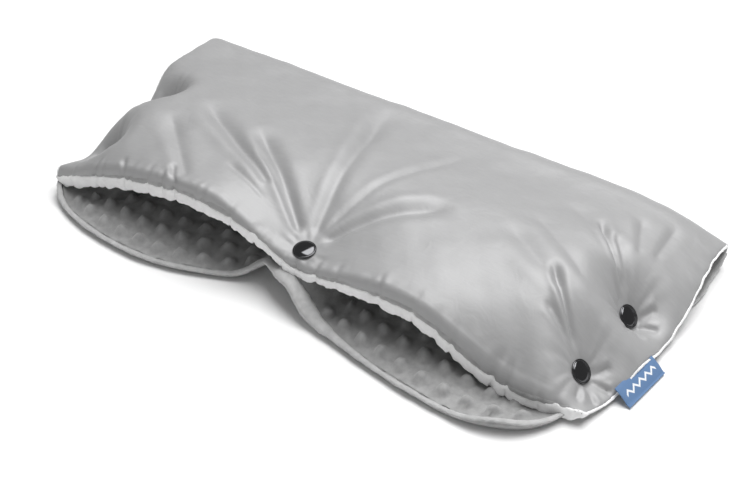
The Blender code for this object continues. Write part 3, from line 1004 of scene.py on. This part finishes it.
def build():
    """Every piece, with the nodes it stands for and the body it rides on."""
    weave, pile, marks = plain_weave_group(), plush_pile_group(), handling_marks_group()
    satin = make_satin(weave)
    # painted shade: the dotted lining is a darker copy of the pale edge plush, for the shade inside
    # the hand openings
    lining = make_plush("dotted_plush_painted_shade", pile, (0.27, 0.27, 0.27), (0.37, 0.37, 0.37))
    # painted shade: the rolled lower lip is a darker copy of the same pale plush, for the shade along
    # the lip
    rolled = make_plush("rolled_plush_painted_shade", pile, (0.40, 0.40, 0.40), (0.50, 0.50, 0.50))
    edging = make_plush("edge_plush", pile, (0.86, 0.86, 0.86), (0.93, 0.93, 0.93))
    metal = make_metal(marks)
    ribbon = make_ribbon(weave)

    a, base, spans = panel()
    normals = outward(base)
    uv = flat_lengths(base)
    grid_a = np.broadcast_to(a, base.shape[:2])
    outer = base.copy()
    upper = spans["upper"]
    folds = creased(base[upper], grid_a[upper])[..., None]
    outer[upper] += normals[upper] * folds
    inner = lining_face(base, normals, a, uv, spans)
    inner[upper] += normals[upper] * 1.3 * np.minimum(folds, 0)
    strip = spans["fold"]
    strip_z = np.linspace(*LINING_STRIP_Z, strip.stop - strip.start)
    inner[strip, :, 2] = strip_z[:, None]

    names = {"lower": "lower_half", "upper": "upper_half"}
    for part in ("lower", "fold", "upper"):
        span = spans[part]
        cover = grid_piece(f"satin_cover_{part}", outer[span], uv[span], satin, COVER_THICK, True)
        plush = grid_piece(
            f"plush_lining_{part}", inner[span], uv[span], lining, LINING_THICK, False
        )
        layers = ((cover, "cover_satin", STRIP_Z), (plush, "lining_plush", LINING_STRIP_Z))
        for piece, slot, (low, high) in layers:
            if part == "fold":
                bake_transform(piece)
            else:
                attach(piece, names[part])
        if part != "fold":
            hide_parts(f"cover_{part}", f"wadding_{part}")
            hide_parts(f"lining_{part}")

    def upper_size(path, run):
        x, y = path[:, 0], path[:, 1]
        front = at_front(y) * smooth((x + LEFT_REACH) / BAND_FADE)
        return mix(0.0011, band_height(x), front), mix(0.0012, 0.0020, front)

    def upper_drop(path, run):
        return -0.80 * upper_size(path, run)[0]

    def lower_size(path, run):
        x, y = path[:, 0], path[:, 1]
        front = at_front(y)
        size = lip_height(x)
        return mix(0.0016, size * 0.80, front), mix(0.0016, size * 1.40, front)

    def lower_drop(path, run):
        return 0.70 * lower_size(path, run)[0]

    for part, size, drop in (
        ("upper", upper_size, upper_drop),
        ("lower", lower_size, lower_drop),
    ):
        plush = edging if part == "upper" else rolled
        piece = plush_edge(f"plush_edge_{part}", outer, spans[part], plush, drop, size)
        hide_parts(f"edge_band_{part}")
        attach(piece, names[part])

    for stud in STUDS:
        for kind, node_name, profile, body in STUD_PIECES:
            piece = turned_piece(f"press_stud_{kind}_{stud.name}", stud, profile(), metal)
            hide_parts(f"{node_name}_{stud.name}")
            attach(piece, body)

    ends = outer[spans["upper"]][:, -1]
    root = ends[np.argmin(np.abs(ends[:, 1] + 0.037))]
    label = make_label(root, ribbon)
    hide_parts("label")
    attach(label, "upper_half")


def make_floor():
    """The pale plain floor."""
    builder = bmesh.new()
    bmesh.ops.create_grid(builder, x_segments=1, y_segments=1, size=4.0)
    bmesh.ops.translate(builder, vec=(0, 0, -0.0004), verts=builder.verts[:])
    material, tree, shader = new_material("studio_floor")
    shader.inputs["Base Color"].default_value = (0.92, 0.92, 0.92, 1)
    shader.inputs["Roughness"].default_value = 0.9
    floor = finish_piece("studio_floor", builder, material)


def area_light(name, place, target, size, power):
    """A soft rectangular light that faces its target."""
    data = bpy.data.lights.new(name, "AREA")
    data.shape = "RECTANGLE"
    data.size, data.size_y = size
    data.energy = power
    obj = bpy.data.objects.new(name, data)
    obj.location = place
    obj.rotation_euler = (Vector(target) - Vector(place)).to_track_quat("-Z", "Y").to_euler()
    bpy.context.scene.collection.objects.link(obj)


def make_studio():
    """A large softbox overhead, a faint fill from the front, and pale air."""
    area_light("overhead_softbox", (0.18, 0.44, 1.65), (0.0, 0.0, 0), (1.7, 1.4), 43)
    area_light("front_fill", (0.5, -1.9, 1.1), (0, 0, 0), (1.6, 1.0), 1.4)
    world = bpy.data.worlds.new("studio_air")
    bpy.context.scene.world = world
    world.use_nodes = True
    world.node_tree.nodes["Background"].inputs[0].default_value = (1, 1, 1, 1)
    world.node_tree.nodes["Background"].inputs[1].default_value = 0.27
    bpy.context.scene.view_settings.view_transform = "Standard"


def make_camera():
    """The camera, above and to the right of the front."""
    azimuth, elevation = math.radians(34.75), math.radians(38.0)
    target = Vector((0.026, -0.034, 0.020))
    back = Vector(
        (
            math.sin(azimuth) * math.cos(elevation),
            -math.cos(azimuth) * math.cos(elevation),
            math.sin(elevation),
        )
    )
    data = bpy.data.cameras.new("studio_camera")
    data.lens = 70.66
    data.sensor_width = 36.0
    camera = bpy.data.objects.new("studio_camera", data)
    camera.location = target + back * 1.169
    camera.rotation_euler = (-back).to_track_quat("-Z", "Y").to_euler()
    bpy.context.scene.collection.objects.link(camera)
    bpy.context.scene.camera = camera


make_camera()
make_studio()
make_floor()
build()
